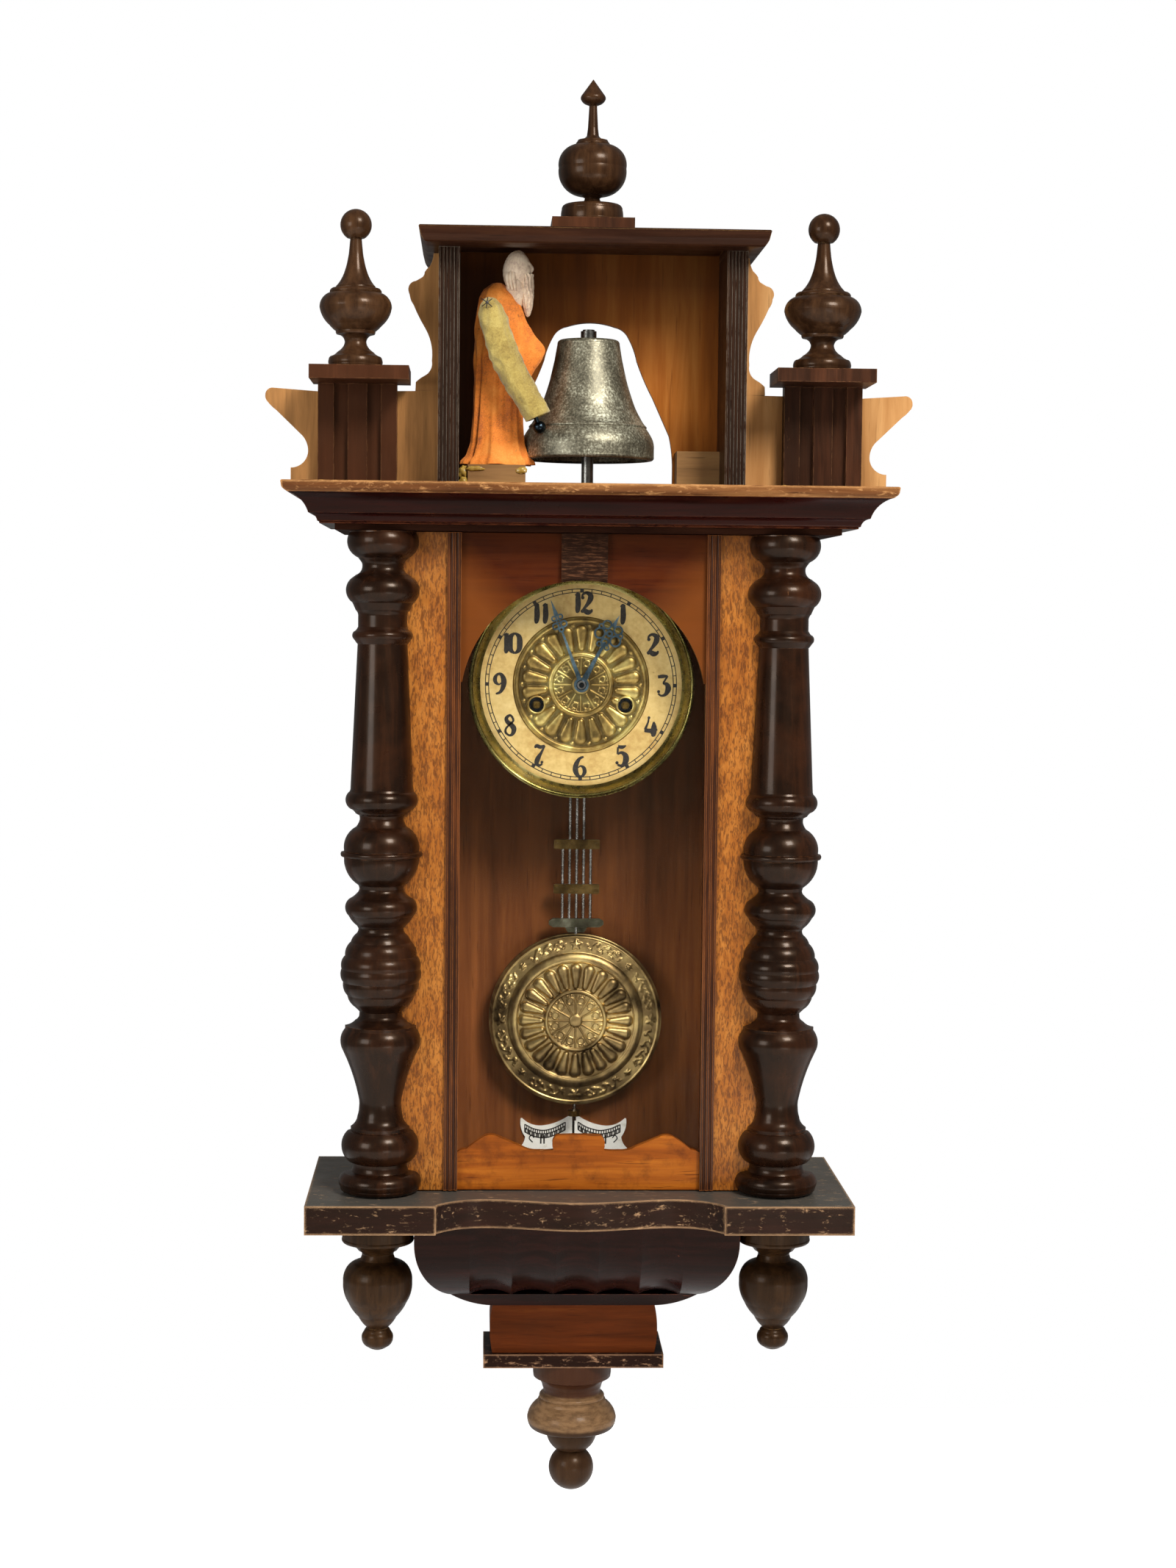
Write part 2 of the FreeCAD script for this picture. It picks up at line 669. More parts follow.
def make_shelf():
    """Base shelf, its front recessed in a serpentine between two square blocks."""
    half = base_width / 2
    body = block(-half, half, 0, base_depth, shelf_bottom_z, case_bottom_z)
    front = base_depth
    end = shelf_block_inner
    deep = shelf_deep_x
    quarter = deep / 2
    turn_d = front - (shelf_recess_deep + shelf_recess_middle) / 2
    corners = []
    for side, order in ((1, 1), (-1, -1)):
        run = [(0, front - shelf_recess_middle), (quarter, turn_d), (deep, front - shelf_recess_deep),
               (end, front - shelf_recess_end)]
        corners.append([(side * x, d) for x, d in run][::order])
    right, left = corners
    edges = []
    whole = left + right[1:]
    spline = Part.BSplineCurve()
    spline.interpolate([point(x, d, 0) for x, d in whole])
    edges.append(spline.toShape())
    outside = [point(end, front - shelf_recess_end, 0), point(end, front + overrun, 0),
               point(-end, front + overrun, 0), point(-end, front - shelf_recess_end, 0)]
    for start, finish in zip(outside, outside[1:]):
        edges.append(Part.LineSegment(start, finish).toShape())
    cut = Part.Face(Part.Wire(edges)).extrude(FreeCAD.Vector(0, 0, base_thickness + 2 * overrun))
    cut.translate(FreeCAD.Vector(0, 0, shelf_bottom_z - overrun))
    save("base_shelf", body.cut(cut))


def make_bowl():
    """Bowl shaped bracket with upright flutes, the block and the plate below it."""
    half = bowl_half_width
    radius = bowl_side_radius
    straight = bowl_height - radius
    bow = math.sqrt(0.5) - 0.5
    outline = [(-half, 0, 0), (-half, -straight, 0), (radius - half, -bowl_height, bow),
               (half - radius, -bowl_height, 0), (half, -straight, bow), (half, 0, 0)]
    front = closed_face(outline).extrude(FreeCAD.Vector(0, -bowl_front_depth, 0))
    front.translate(FreeCAD.Vector(0, 0, shelf_bottom_z))
    foot = bowl_height - bowl_foot_height
    centre_d = bowl_front_depth - bowl_front_radius
    foot_angle = math.asin(foot / bowl_front_radius)
    foot_d = centre_d + bowl_front_radius * math.cos(foot_angle)
    middle_d = centre_d + bowl_front_radius * math.cos(foot_angle / 2)
    middle_drop = bowl_front_radius * math.sin(foot_angle / 2)
    top_z = shelf_bottom_z
    edges = [Part.Arc(point(-half, bowl_front_depth, top_z), point(-half, middle_d, top_z - middle_drop),
                      point(-half, foot_d, top_z - foot)).toShape()]
    rest = [point(-half, foot_d, top_z - foot), point(-half, block_depth, bowl_bottom_z),
            point(-half, 0, bowl_bottom_z), point(-half, 0, top_z), point(-half, bowl_front_depth, top_z)]
    for start, finish in zip(rest, rest[1:]):
        edges.append(Part.LineSegment(start, finish).toShape())
    side = Part.Face(Part.Wire(edges)).extrude(FreeCAD.Vector(2 * half, 0, 0))
    body = front.common(side)
    fluted = block(-half, half, centre_d, bowl_front_depth, top_z - foot, top_z)
    for share in flute_places_shares:
        ring = Part.makeTorus(bowl_front_radius + flute_radius - flute_deep, flute_radius,
                              point(share * half, centre_d, top_z), FreeCAD.Vector(1, 0, 0))
        body = body.cut(ring.common(fluted))
    save("bowl_bracket", body)
    half = block_width / 2
    cove = block_cove
    outline = [(-half, 0, 0), (-half, -block_height, 0), (half, -block_height, 0), (half, 0, 0)]
    outline[1] = (-half, -block_height, cove / block_height)
    outline[3] = (half, 0, cove / block_height)
    face = closed_face(outline)
    face.translate(FreeCAD.Vector(0, 0, bowl_bottom_z))
    save("lower_block", across(face, upstand_depth, block_depth - upstand_depth))
    half = plate_width / 2
    tray = block(-half, half, 0, plate_depth, plate_bottom_z, block_bottom_z)
    backing = block(-block_width / 2 + cove, block_width / 2 - cove, 0, upstand_depth,
                    block_bottom_z, bowl_bottom_z)
    save("lower_plate", tray.fuse(backing).removeSplitter())


def make_pendants():
    """Turned pendants below the shelf and below the lower plate."""
    drop = turned(side_pendant_shares, side_pendant_height, side_pendant_radius, side_pendant_x,
                  side_pendant_depth, shelf_bottom_z - side_pendant_height)
    save("side_pendants", drop, mirrored(drop))
    save("bottom_pendant", turned(bottom_pendant_shares, bottom_pendant_height, bottom_pendant_radius,
                                  0, bottom_pendant_depth, plate_bottom_z - bottom_pendant_height)
         .common(block(-bottom_pendant_radius, bottom_pendant_radius, 0, plate_depth + plate_depth,
                       plate_bottom_z - bottom_pendant_height, plate_bottom_z)))


def cut_outline():
    """Face of the bell shaped opening in the stage's back."""
    half = cut_half_bottom
    tall = cut_height
    points = [(u * half, v * tall, bow) for u, v, bow in cut_shares]
    other = [(-u, v, 0) for u, v, unused in reversed(points[:-1])]
    bows = [bow for unused_u, unused_v, bow in points]
    other = [(u, v, bow) for (u, v, unused), bow in zip(other, list(reversed(bows[1:])))]
    face = closed_face(points + other)
    face.translate(FreeCAD.Vector(cut_x, 0, cornice_top_z))
    return face


def make_stage():
    """Stage on the cornice: back with its opening, two grooved sides and the hollow cap."""
    z0 = cornice_top_z
    z1 = z0 + niche_height
    half = niche_width / 2
    inner = half - stage_side_width
    ceiling_z = z0 + stage_ceiling_height
    back = shifted(block(-inner, inner, stage_back_depth - stage_back_thickness, stage_back_depth, z0,
                         ceiling_z))
    hole = across(cut_outline(), stage_back_depth - stage_back_thickness - overrun,
                  stage_back_thickness + 2 * overrun)
    save("stage_back", back.cut(hole))
    side = block(inner, half, stage_back_depth - stage_back_thickness, stage_front_depth, z0, z1)
    pitch = stage_side_width / (stage_groove_count + 1)
    for number in range(stage_groove_count):
        groove_x = inner + pitch * (number + 1)
        side = side.cut(upright(groove_x, stage_front_depth, z0 - overrun, niche_height + 2 * overrun,
                                stage_groove_radius))
    save("stage_sides", shifted(side), shifted(mirrored(side)))
    profile = [(u * cap_inset, v * cap_height, bow) for u, v, bow in cap_shares]
    cap = moulded(cap_width / 2, cap_depth, z1 + cap_height, profile)
    rear = stage_back_depth - stage_back_thickness
    hollow = block(-inner, inner, rear, stage_front_depth, z1 - overrun, ceiling_z)
    save("stage_cap", shifted(cap.cut(hollow)))


def make_crest():
    """Wing boards, scroll brackets, pedestals with their caps, and the turned finials."""
    z0 = cornice_top_z
    inner = niche_width / 2
    wing = [(inner + u * wing_reach, z0 + v * wing_height, bow) for u, v, bow in wing_shares]
    scroll_z = z0 + wing_height * wing_shares[-1][1]
    scroll = [(inner + u * scroll_reach, scroll_z + v * scroll_height, bow) for u, v, bow in scroll_shares]
    back = crest_board_depth - crest_board_thickness
    boards = [across(closed_face(outline), back, crest_board_thickness) for outline in (wing, scroll)]
    save("crest_boards", *[shifted(board) for board in boards],
         *[shifted(mirrored(board)) for board in boards])
    pieces = []
    finials = []
    for rise, radius in ((right_pedestal_rise, right_finial_radius), (0, side_finial_radius)):
        cap_z = z0 + pedestal_height + rise
        half = pedestal_width / 2
        front = crest_board_depth + pedestal_depth
        pedestal = block(pedestal_x - half, pedestal_x + half, crest_board_depth, front, z0, cap_z)
        groove = pedestal_width * pedestal_groove_share
        for side in (-1, 1):
            middle = pedestal_x + side * pedestal_width * pedestal_groove_place_share
            pedestal = pedestal.cut(block(middle - groove / 2, middle + groove / 2,
                                          front - pedestal_groove_depth, front + overrun, z0 - overrun,
                                          cap_z + overrun))
        half = pedestal_cap_width / 2
        cap = block(pedestal_cap_x - half, pedestal_cap_x + half, crest_board_depth, pedestal_cap_front,
                    cap_z, cap_z + pedestal_cap_height)
        pieces.append((pedestal, cap))
        finials.append(turned(side_finial_shares, side_finial_height, radius, side_finial_x,
                              side_finial_depth, cap_z + pedestal_cap_height))
    save("pedestals", *[shifted(piece) for piece in pieces[0]],
         *[shifted(mirrored(piece)) for piece in pieces[1]])
    save("side_finials", shifted(finials[0], side_finial_shift),
         shifted(mirrored(finials[1]), side_finial_shift))
    z_cap = z0 + niche_height + cap_height
    half = finial_plinth_size / 2
    save("finial_plinth", shifted(block(-half, half, finial_depth - half, finial_depth + half, z_cap,
                                        z_cap + finial_plinth_height)))
    save("top_finial", shifted(turned(top_finial_shares, top_finial_height, top_finial_radius, 0,
                                      finial_depth, z_cap + finial_plinth_height)))


def make_bell():
    """Bell with an even wall, on a post through the cornice and held by a nut."""
    base = cornice_top_z + bell_lift
    outer = turned(bell_shares, bell_height, bell_radius, bell_x, bell_depth, base)
    inner = turned(bell_shares, bell_height - bell_wall, bell_radius - bell_wall, bell_x, bell_depth, base)
    shell = outer.cut(inner).cut(upright(bell_x, bell_depth, base, bell_height + overrun, post_radius))
    save("bell", shell)
    top = base + bell_height
    post = upright(bell_x, bell_depth, case_top_z, top + bell_nut_height - case_top_z, post_radius)
    post = post.cut(block(bell_x - post_radius, bell_x + post_radius, bell_depth - post_radius,
                          bell_depth + post_radius, case_top_z, cornice_board_z))
    flange = upright(bell_x, bell_depth, cornice_top_z, post_flange_height, post_flange_radius)
    collar = upright(bell_x, bell_depth, top - bell_wall - post_flange_height, post_flange_height,
                     bell_nut_radius)
    nut = upright(bell_x, bell_depth, top, bell_nut_height * 0.85, bell_nut_radius)
    nut = nut.cut(upright(bell_x, bell_depth, top, bell_nut_height, post_radius))
    save("bell_post", post.fuse(flange).fuse(collar).removeSplitter(), nut)


def make_robe(robe_z):
    """Robe with its upright folds, lofted through sections made of bulging arcs."""
    wires = []
    for share_z, share_w, share_d, shift in robe_shares:
        centre = point(figure_x + shift * robe_half_width, figure_depth, robe_z + share_z * robe_height)
        corners = []
        bulges = []
        for number in range(robe_fold_count):
            for angle, swell, places in ((number, 0, corners), (number + 0.5, robe_fold_share, bulges)):
                turn = 2 * math.pi * angle / robe_fold_count
                across_x = robe_half_width * share_w * (1 + swell) * math.cos(turn)
                forward = robe_half_depth * share_d * (1 + swell) * math.sin(turn)
                places.append(centre + point(across_x, forward, 0))
        edges = []
        for number, bulge in enumerate(bulges):
            edges.append(Part.Arc(corners[number], bulge, corners[(number + 1) % len(corners)]).toShape())
        wires.append(Part.Wire(edges))
    return Part.makeLoft(wires, True)


def make_elbow(z0):
    """Draped elbow that stands out of the robe, lofted through upright ovals."""
    wires = []
    for share_x, share_h, share_d in elbow_shares:
        oval = Part.Ellipse(FreeCAD.Vector(0, 0, 0), elbow_half_height * share_h,
                            elbow_half_depth * share_d).toShape()
        oval.rotate(FreeCAD.Vector(0, 0, 0), FreeCAD.Vector(0, 1, 0), 90)
        oval.translate(point(elbow_x - share_x * elbow_half_height, figure_depth, z0 + elbow_height))
        wires.append(Part.Wire(oval))
    return Part.makeLoft(wires, True)


def make_figure():
    """Robed figure on its plinth, the glued block, and the sleeved arm with hammer and wire."""
    z0 = cornice_top_z
    half = figure_plinth_width / 2
    plinth = block(figure_x - half, figure_x + half, figure_depth - figure_plinth_half_depth,
                   figure_depth + figure_plinth_half_depth, z0, z0 + figure_plinth_height)
    wall_x = niche_width / 2 - stage_side_width + crest_shift
    glued = block(wall_x - glued_block_width, wall_x, stage_back_depth,
                  stage_back_depth + glued_block_depth, z0, z0 + glued_block_height)
    save("stage_blocks", plinth, glued)
    robe_z = z0 + figure_plinth_height
    robe = make_robe(robe_z).fuse(make_elbow(z0)).removeSplitter()
    pin_z = z0 + shoulder_height
    pin_rear = figure_depth - robe_half_depth - crank_thickness
    bore = rod(shoulder_x, pin_rear, pin_z, sleeve_depth - pin_rear, pivot_pin_radius + running)
    save("figure_robe", robe.cut(bore))
    skull = Part.makeSphere(head_height / 2)
    matrix = FreeCAD.Matrix()
    matrix.A11 = 2 * head_half_width / head_height
    matrix.A22 = 2 * head_half_depth / head_height
    skull = skull.transformGeometry(matrix)
    skull.translate(point(head_x, figure_depth, z0 + head_lift + head_height / 2))
    tip = point(beard_tip_x, figure_depth, z0 + beard_tip_height)
    lean = point(head_x, figure_depth, z0 + head_lift + head_height / 2) - tip
    beard = Part.makeCone(beard_radius * 0.4, beard_radius, beard_length, tip, lean)
    save("figure_head", skull.fuse(beard).cut(robe))
    wrist = point(shoulder_x + sleeve_reach_x, sleeve_depth, pin_z - sleeve_reach_down)
    along = point(shoulder_x, sleeve_depth, pin_z) - wrist
    tilt = math.degrees(math.atan2(sleeve_reach_x, sleeve_reach_down))
    sleeve = turned(sleeve_shares, along.Length + sleeve_over_shoulder, sleeve_radius, 0, 0, 0)
    sleeve.rotate(FreeCAD.Vector(0, 0, 0), FreeCAD.Vector(0, 1, 0), -tilt)
    sleeve.translate(wrist)
    reach = bell_radius * 0.93 + hammer_radius + seat
    ball_x = bell_x - reach * math.cos(math.radians(hammer_bearing))
    ball_depth = bell_depth + reach * math.sin(math.radians(hammer_bearing))
    ball = point(ball_x, ball_depth, pin_z - hammer_reach_down)
    stem_start = wrist + along * 0.2
    stem = ball - stem_start
    hammer = Part.makeSphere(hammer_radius, ball)
    hammer = hammer.fuse(Part.makeCylinder(hammer_stem_radius, stem.Length, stem_start, stem))
    pin = rod(shoulder_x, pin_rear, pin_z, sleeve_depth - pin_rear, pivot_pin_radius)
    crank = block(shoulder_x - crank_thickness, shoulder_x + crank_length + crank_thickness,
                  pin_rear - crank_thickness, pin_rear, pin_z - crank_thickness, pin_z + crank_thickness)
    crank_pin = rod(shoulder_x + crank_length, wire_depth - crank_thickness, pin_z,
                    pin_rear - wire_depth, crank_pin_radius)
    lever = pin.fuse(crank).fuse(crank_pin).removeSplitter()
    sleeve = sleeve.cut(hammer).cut(lever)
    save("arm_sleeve", sleeve)
    save("arm_hammer", hammer.removeSplitter(), lever)
    wire_x = shoulder_x + crank_length
    lever_z = case_top_z - lever_below_top
    eyes = [Part.makeTorus(wire_eye_radius, wire_radius, point(wire_x, wire_depth, z),
                           FreeCAD.Vector(0, 1, 0)) for z in (lever_z, pin_z)]
    run = upright(wire_x, wire_depth, lever_z + wire_eye_radius, pin_z - lever_z - 2 * wire_eye_radius,
                  wire_radius)
    save("pull_wire", eyes[0].fuse(eyes[1]).fuse(run).removeSplitter())
    return wire_x, lever_z


def make_lift_lever(wire_x, lever_z):
    """Lifting lever that pulls the wire: a beam with a tail down to the striking train."""
    pivot_x = wire_x + lever_reach
    half = lever_width / 2
    front = wire_depth - wire_radius - seat
    rear = front - lever_thickness
    beam = block(wire_x - half, pivot_x + lever_tail_x + half, rear, front, lever_z - half, lever_z + half)
    tail = block(pivot_x + lever_tail_x - half, pivot_x + lever_tail_x + half, rear, front,
                 lever_z - lever_tail_drop, lever_z)
    lever = beam.fuse(tail)
    hub = rod(pivot_x, rear, lever_z, lever_thickness, lever_hub_radius)
    pin = rod(wire_x, rear, lever_z, lever_thickness + 2 * wire_radius + 3 * seat, crank_pin_radius)
    lever = lever.fuse(hub).fuse(pin)
    bore = rod(pivot_x, rear - overrun, lever_z, lever_thickness + 2 * overrun,
               lever_stud_radius + running)
    save("lift_lever", lever.cut(bore).removeSplitter())
    stud = rod(pivot_x, board, lever_z, front + seat - board, lever_stud_radius)
    shoulder = rod(pivot_x, board, lever_z, rear - seat - board, lever_hub_radius)
    return stud.fuse(shoulder).removeSplitter()


def make_beat_scale():
    """Enamel scale with a peaked top, on the lower part of the backboard."""
    half = scale_width / 2
    points = [(u * half, v * scale_height, bow) for u, v, bow in scale_shares[1:]]
    left = [(-u, v, 0) for u, v, unused in reversed(points[:-1])]
    bows = [bow for unused_u, unused_v, bow in points]
    left = [(u, v, bow) for (u, v, unused), bow in zip(left, list(reversed(bows[1:])))]
    face = closed_face(points + left)
    face.translate(FreeCAD.Vector(0, 0, case_bottom_z + scale_lift))
    save("beat_scale", across(face, board, scale_thickness))


def make_door():
    """Door frame, mouldings, glass, arched spandrel with its key block, apron and half columns."""
    z0 = door_bottom_z
    z1 = door_top_z
    inner = half_case - stile_width
    rail_front = door_back + rail_thickness
    stile = block(inner, half_case, door_back, door_front, z0, z1)
    frame = stile.fuse(mirrored(stile))
    frame = frame.fuse(block(-inner, inner, door_back, rail_front, z1 - top_rail_height, z1))
    frame = frame.fuse(block(-inner, inner, door_back, rail_front, z0, z0 + bottom_rail_height))
    save("door_frame", frame.removeSplitter())
    glass = block(-inner + seat, inner - seat, rail_front - glass_thickness, rail_front,
                  z0 + bottom_rail_height + seat, z1 - top_rail_height - seat)
    save("door_glass", glass)
    sight = inner - moulding_width
    strip = block(sight, inner, rail_front, door_front + moulding_proud, z0, z1)
    bead = moulding_width / 6
    for share in (0.3, 0.72):
        strip = strip.cut(upright(sight + moulding_width * share, door_front + moulding_proud,
                                  z0 - overrun, z1 - z0 + 2 * overrun, bead * 0.7))
    save("door_mouldings", strip, mirrored(strip))
    foot_z = z1 - arch_foot_drop
    arch_half = sight - arch_margin
    bow = arch_rise / (2 * arch_half)
    face = closed_face([(-sight, foot_z, 0), (-arch_half, foot_z, 0), (arch_half, foot_z, -bow),
                        (sight, foot_z, 0), (sight, z1, 0), (-sight, z1, 0)])
    half = key_block_width / 2
    panel = across(face, rail_front, panel_thickness)
    key = block(-half, half, rail_front + panel_thickness, rail_front + panel_thickness + key_block_proud,
                z1 - key_block_height, z1)
    save("door_spandrel", panel, key)
    half = sight
    points = [(u * half, v * apron_height, bow) for u, v, bow in apron_shares[1:]]
    left = [(-u, v, 0) for u, v, unused in reversed(points[:-1])]
    bows = [bow for unused_u, unused_v, bow in points]
    left = [(u, v, bow) for (u, v, unused), bow in zip(left, list(reversed(bows[1:])))]
    face = closed_face(points + left)
    face.translate(FreeCAD.Vector(0, 0, z0))
    save("door_apron", across(face, rail_front, panel_thickness))
    column = turned(column_shares, z1 - z0, column_radius, column_axis_x, door_front, z0)
    front_half = block(column_axis_x - 2 * column_radius, column_axis_x + 2 * column_radius, door_front,
                       door_front + 2 * column_radius, z0, z1)
    column = column.common(front_half)
    save("columns", column, mirrored(column))


def make_hardware():
    """Butt hinges on the right, and the hook, its pivot and its stud on the left."""
    axis_x = half_case + hinge_offset
    leaf = hinge_leaf_thickness
    case_parts = []
    door_parts = []
    for share in hinge_places_shares:
        z0 = case_bottom_z + case_height * share - hinge_height / 2
        middle = z0 + hinge_height / 2
        low = upright(axis_x, case_depth, z0, hinge_height / 2, hinge_barrel_radius)
        plate = block(half_case, half_case + leaf, case_depth - hinge_leaf_length,
                      case_depth, z0, middle)
        bridge = block(half_case, axis_x, case_depth - leaf, case_depth, z0, middle)
        pin = upright(axis_x, case_depth, z0, hinge_height - leaf, hinge_pin_radius)
        case_parts.append(low.fuse(plate).fuse(bridge).fuse(pin).removeSplitter())
        high = upright(axis_x, case_depth, middle + seat, hinge_height / 2 - seat, hinge_barrel_radius)
        door_leaf = block(half_case, half_case + leaf, case_depth + door_gap, door_front, middle + seat,
                          z0 + hinge_height)
        door_bridge = block(half_case, axis_x, case_depth + door_gap, case_depth + door_gap + leaf,
                            middle + seat, z0 + hinge_height)
        barrel = high.fuse(door_leaf).fuse(door_bridge)
        bore = upright(axis_x, case_depth, z0, hinge_height + overrun, hinge_pin_radius + running)
        door_parts.append(barrel.cut(bore).removeSplitter())
    hook_z = case_bottom_z + case_height * hook_place_share
    pivot = Part.makeCylinder(stud_radius, stud_length, point(-half_case, hook_pivot_depth, hook_z),
                              FreeCAD.Vector(-1, 0, 0))
    head = Part.makeCylinder(stud_head_radius, stud_head_height,
                             point(-half_case - stud_length, hook_pivot_depth, hook_z),
                             FreeCAD.Vector(-1, 0, 0))
    case_parts.append(pivot.fuse(head).removeSplitter())
    stud_depth = hook_pivot_depth + hook_length
    stud = Part.makeCylinder(stud_radius, stud_length, point(-half_case, stud_depth, hook_z),
                             FreeCAD.Vector(-1, 0, 0))
    door_parts.append(stud)
    save("case_hardware", *case_parts)
    save("door_hardware", *door_parts)
    x1 = -half_case - (stud_length - hook_thickness) / 2
    arm = block(x1 - hook_thickness, x1, hook_pivot_depth - hook_width / 2,
                hook_pivot_depth + hook_width / 2, hook_z - hook_length, hook_z)
    eye = Part.makeCylinder(hook_width * 0.7, hook_thickness, point(x1, hook_pivot_depth, hook_z),
                            FreeCAD.Vector(-1, 0, 0))
    tip = Part.makeCylinder(hook_width * 0.8, hook_thickness,
                            point(x1, hook_pivot_depth, hook_z - hook_length), FreeCAD.Vector(-1, 0, 0))
    hook = arm.fuse(eye).fuse(tip)
    hook = hook.cut(Part.makeCylinder(stud_radius + running, hook_thickness + 2 * overrun,
                                      point(x1 + overrun, hook_pivot_depth, hook_z),
                                      FreeCAD.Vector(-1, 0, 0)))
    notch = block(x1 - hook_thickness - overrun, x1 + overrun, hook_pivot_depth - stud_radius - seat,
                  hook_pivot_depth + hook_width, hook_z - hook_length - stud_radius - seat,
                  hook_z - hook_length + stud_radius + seat)
    save("door_hook", hook.cut(notch).removeSplitter())


def winding_holes(depth, length, radius):
    """Cutters for the two winding holes and the middle hole of the dial."""
    cutter = rod(0, depth, dial_z, length, hour_pipe_radius + seat)
    for side in (-1, 1):
        cutter = cutter.fuse(rod(side * winding_x, depth, dial_z - winding_drop, length, radius))
    return cutter


def make_dial():
    """Dial plate, brass bezel and the embossed brass centre."""
    cutter = winding_holes(dial_back_depth - overrun, dial_thickness + dial_centre_height + 3 * overrun,
                           winding_hole_radius)
    save("dial", rod(0, dial_back_depth, dial_z, dial_thickness, dial_radius).cut(cutter))
    front = dial_back_depth + dial_thickness
    rim = bezel_radius
    inner = bezel_inner_radius
    wall = bezel_wall
    outline = [(inner, 0, 0), (inner, wall, 0), (rim - wall * 2, bezel_height * 0.55, 0.1),
               (rim - wall, bezel_height * 0.6, 0.5), (rim, bezel_height * 0.4, 0.2),
               (rim, -bezel_height * 0.4, 0), (rim - wall, -bezel_height * 0.4, 0),
               (rim - wall, 0, 0)]
    section = Part.Wire(bowed_edges(outline + [outline[0]]))
    ring = Part.Face(section).revolve(FreeCAD.Vector(0, 0, 0), FreeCAD.Vector(0, 0, 1), 360)
    ring.rotate(FreeCAD.Vector(0, 0, 0), FreeCAD.Vector(1, 0, 0), 90)
    ring.translate(point(0, front, dial_z))
    save("bezel", ring)
    disc = rod(0, front, dial_z, dial_centre_height, dial_centre_radius)
    outer_well = rod(0, front + dial_centre_height / 2, dial_z, dial_centre_height,
                     dial_centre_radius - dial_centre_rim)
    inner_ring = rod(0, front, dial_z, dial_centre_height, dial_centre_radius / 2)
    inner_well = rod(0, front + dial_centre_height / 2, dial_z, dial_centre_height,
                     dial_centre_radius / 2 - dial_centre_rim)
    disc = disc.cut(outer_well).fuse(inner_ring).cut(inner_well)
    save("dial_centre", disc.cut(cutter).removeSplitter())


def hand_face(length, width, pierced_shares):
    """Flat outline of a hand that points up: stem, pierced blade and tip."""
    start, end = pierced_shares
    stem = width * 0.12
    right = [(stem, 0, 0), (stem, length * start, 0), (width / 2, length * (start + end) / 2, -0.2),
             (stem, length * end, 0.25), (stem * 0.8, length * 0.93, 0), (0, length, 0)]
    left = [(-u, v, 0) for u, v, unused in reversed(right[:-1])]
    bows = [bow for unused_u, unused_v, bow in right]
    left = [(u, v, bow) for (u, v, unused), bow in zip(left, list(reversed(bows[1:])))]
    return closed_face(right + left)


def make_hand(length, width, pierced_shares, angle, depth, bore):
    """Hand with its boss, turned to its hour and set on its pipe."""
    blade = across(hand_face(length, width, pierced_shares), 0, hand_thickness)
    hole_size = width * 0.12
    middle = length * sum(pierced_shares) / 2
    for side in (-1, 1):
        blade = blade.cut(rod(side * width * 0.22, -overrun, middle, hand_thickness + 2 * overrun,
                              hole_size))
    blade = blade.fuse(rod(0, 0, 0, hand_thickness, hand_boss_radius))
    blade = blade.cut(rod(0, -overrun, 0, hand_thickness + 2 * overrun, bore))
    blade.rotate(FreeCAD.Vector(0, 0, 0), FreeCAD.Vector(0, 1, 0), angle)
    blade.translate(point(0, depth, dial_z))
    return blade.removeSplitter()


